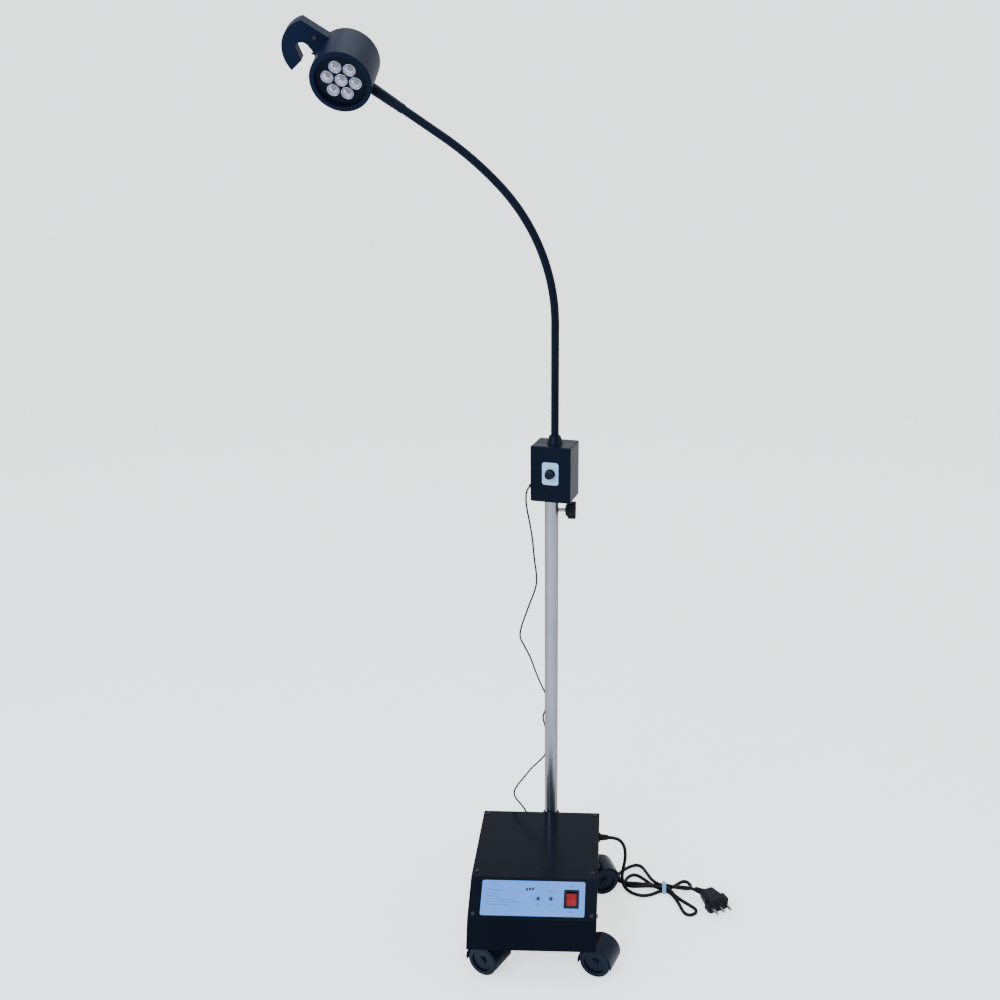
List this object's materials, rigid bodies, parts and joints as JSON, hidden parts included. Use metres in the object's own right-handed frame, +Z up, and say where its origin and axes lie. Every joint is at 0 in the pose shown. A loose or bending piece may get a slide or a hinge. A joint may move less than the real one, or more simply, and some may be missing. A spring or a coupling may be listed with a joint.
{
  "type": "examination lamp",
  "caption": "Mobile battery-backed examination lamp: wheeled cabinet base, sliding mast with dimmer box, gooseneck arm, round LED head with parking hook, corded plug.",
  "frame": {"origin": "on the floor, midway between the four caster stems", "axes": "+Z up the pole, -Y towards the switch panel, +X to the right seen from the panel"},
  "size_m": [0.6972, 0.3348, 1.405],
  "materials": {
    "cabinet_paint": "gloss black enamel on sheet steel",
    "inner_steel": "zinc-plated sheet steel",
    "label_film": "pale blue-white satin label film",
    "switch_black": "fine matt black plastic",
    "rocker_red": "translucent red plastic",
    "indicator_lens": "clear domed light, unlit",
    "screw_plated": "bright zinc-plated screw",
    "battery_case": "dark grey moulded case",
    "circuit_board": "green solder mask",
    "bracket_paint": "satin black powder coat",
    "gland_black": "soft black rubber",
    "wheel_black": "black nylon wheel",
    "caster_hood": "semi-gloss black plastic hood",
    "pole_aluminium": "satin anodised tube",
    "bush_black": "black nylon bush",
    "clamp_black": "black lobed plastic knob on a steel screw",
    "box_black": "semi-gloss black casing",
    "dial_white": "white plate",
    "knob_black": "matt black knob",
    "neck_black": "black ribbed flexible arm",
    "ferrule_black": "satin black sleeve",
    "head_black": "semi-gloss black coated aluminium",
    "tray_black": "dark recessed plate",
    "lens_clear": "clear moulded lens",
    "sink_aluminium": "bare aluminium fins",
    "cord_black": "black cord sheath",
    "tie_blue": "pale blue-grey tie",
    "pin_nickel": "nickel-plated pin"
  },
  "bodies": {
    "base": {"cover_sheet": "cabinet_paint", "side_panel_left": "cabinet_paint", "side_panel_right": "cabinet_paint", "rear_panel": "cabinet_paint", "base_tray": "inner_steel", "panel_label": "label_film", "switch_bezel": "switch_black", "indicator_lights": "indicator_lens", "base_screws": "screw_plated", "battery": "battery_case", "power_board": "circuit_board", "pole_bracket": "bracket_paint", "base_glands": "gland_black", "caster_sockets": "inner_steel", "pole": "pole_aluminium", "pole_bush": "bush_black", "cord_hank": "cord_black", "cord_tie": "tie_blue", "plug_body": "cord_black", "plug_pins": "pin_nickel", "mains_cord": "cord_black", "lamp_lead": "cord_black"},
    "rocker": {"switch_rocker": "rocker_red"},
    "caster_front_left": {"caster_yoke_front_left": "caster_hood"},
    "wheels_front_left": {"caster_wheels_front_left": "wheel_black"},
    "caster_front_right": {"caster_yoke_front_right": "caster_hood"},
    "wheels_front_right": {"caster_wheels_front_right": "wheel_black"},
    "caster_rear_left": {"caster_yoke_rear_left": "caster_hood"},
    "wheels_rear_left": {"caster_wheels_rear_left": "wheel_black"},
    "caster_rear_right": {"caster_yoke_rear_right": "caster_hood"},
    "wheels_rear_right": {"caster_wheels_rear_right": "wheel_black"},
    "mast": {"mast_tube": "pole_aluminium", "box_shell": "box_black", "box_lid": "box_black", "lid_screws": "screw_plated", "mast_socket": "inner_steel", "dial_plate": "dial_white", "dimmer_pot": "inner_steel", "driver_board": "circuit_board", "box_gland": "gland_black", "neck_collar": "ferrule_black"},
    "clamp_pad": {"clamp_pad": "bush_black"},
    "clamp_knob": {"clamp_knob": "clamp_black"},
    "dimmer": {"dimmer_knob": "knob_black"},
    "arm": {"neck_link_1": "neck_black"},
    "neck_2": {"neck_link_2": "neck_black"},
    "neck_3": {"neck_link_3": "neck_black"},
    "neck_4": {"neck_link_4": "neck_black"},
    "neck_5": {"neck_link_5": "neck_black"},
    "neck_6": {"neck_link_6": "neck_black"},
    "head": {"neck_ferrule": "ferrule_black", "head_shell": "head_black", "head_back": "head_black", "head_bezel": "head_black", "lens_tray": "tray_black", "lenses": "lens_clear", "led_board": "circuit_board", "heat_sink": "sink_aluminium", "hook": "head_black", "hook_screws": "screw_plated"}
  },
  "joints": [
    {"name": "power_rocker", "type": "hinge", "parent": "base", "child": "rocker", "pos_m": [0.06, -0.07993, 0.10908], "axis": [1, 0, 0], "range_deg": [-24, 0]},
    {"name": "swivel_front_left", "type": "hinge", "parent": "base", "child": "caster_front_left", "pos_m": [-0.086, -0.095, 0.058], "axis": [0, 0, 1], "continuous": true},
    {"name": "roll_front_left", "type": "hinge", "parent": "caster_front_left", "child": "wheels_front_left", "pos_m": [-0.06818, -0.10408, 0.025], "axis": [0.454, 0.891, 0], "continuous": true},
    {"name": "swivel_front_right", "type": "hinge", "parent": "base", "child": "caster_front_right", "pos_m": [0.086, -0.095, 0.058], "axis": [0, 0, 1], "continuous": true},
    {"name": "roll_front_right", "type": "hinge", "parent": "caster_front_right", "child": "wheels_front_right", "pos_m": [0.10479, -0.10184, 0.025], "axis": [0.342, 0.9397, 0], "continuous": true},
    {"name": "swivel_rear_left", "type": "hinge", "parent": "base", "child": "caster_rear_left", "pos_m": [-0.086, 0.095, 0.058], "axis": [0, 0, 1], "continuous": true},
    {"name": "roll_rear_left", "type": "hinge", "parent": "caster_rear_left", "child": "wheels_rear_left", "pos_m": [-0.06644, 0.09916, 0.025], "axis": [-0.2079, 0.9781, 0], "continuous": true},
    {"name": "swivel_rear_right", "type": "hinge", "parent": "base", "child": "caster_rear_right", "pos_m": [0.086, 0.095, 0.058], "axis": [0, 0, 1], "continuous": true},
    {"name": "roll_rear_right", "type": "hinge", "parent": "caster_rear_right", "child": "wheels_rear_right", "pos_m": [0.10479, 0.10184, 0.025], "axis": [-0.342, 0.9397, 0], "continuous": true},
    {"name": "mast_height", "type": "slide", "parent": "base", "child": "mast", "axis": [0, 0, 1], "range_m": [0, 0.08]},
    {"name": "clamp_feed", "type": "slide", "parent": "base", "child": "clamp_pad", "axis": [1, 0, 0], "range_m": [0, 0.002]},
    {"name": "clamp_turn", "type": "hinge", "parent": "clamp_pad", "child": "clamp_knob", "pos_m": [0.015, 0.144, 0.678], "axis": [1, 0, 0], "range_deg": [0, 720]},
    {"name": "dimmer_turn", "type": "hinge", "parent": "mast", "child": "dimmer", "pos_m": [0.01439, 0.11759, 0.7455], "axis": [-0.2079, -0.9781, 0], "range_deg": [-60, 240]},
    {"name": "arm_swivel", "type": "hinge", "parent": "mast", "child": "arm", "pos_m": [0.02, 0.144, 0.7885], "axis": [0, 0, 1], "range_deg": [-170, 170]},
    {"name": "bend_1", "type": "hinge", "parent": "arm", "child": "neck_2", "pos_m": [0.02, 0.144, 0.8635], "axis": [0, 1, 0], "range_deg": [-25, 25]},
    {"name": "sway_1", "type": "hinge", "parent": "neck_2", "child": "neck_3", "pos_m": [0.02, 0.144, 0.9585], "axis": [1, 0, 0], "range_deg": [-20, 20]},
    {"name": "bend_2", "type": "hinge", "parent": "neck_3", "child": "neck_4", "pos_m": [0.00944, 0.144, 1.05255], "axis": [0, 1, 0], "range_deg": [-25, 25]},
    {"name": "sway_2", "type": "hinge", "parent": "neck_4", "child": "neck_5", "pos_m": [-0.03037, 0.144, 1.13833], "axis": [0.8263, 0, 0.5632], "range_deg": [-20, 20]},
    {"name": "bend_3", "type": "hinge", "parent": "neck_5", "child": "neck_6", "pos_m": [-0.09473, 0.144, 1.20783], "axis": [0, 1, 0], "range_deg": [-25, 25]},
    {"name": "sway_3", "type": "hinge", "parent": "neck_6", "child": "head", "pos_m": [-0.17199, 0.144, 1.26294], "axis": [0.5446, 0, 0.8387], "range_deg": [-20, 20]}
  ],
  "couplings": [
    {"joint": "clamp_feed", "follows": "clamp_turn", "m_per_rad": 0.00015915},
    {"joint": "bend_2", "follows": "bend_1", "ratio": 1},
    {"joint": "bend_3", "follows": "bend_1", "ratio": 1},
    {"joint": "sway_2", "follows": "sway_1", "ratio": 1},
    {"joint": "sway_3", "follows": "sway_1", "ratio": 1}
  ]
}
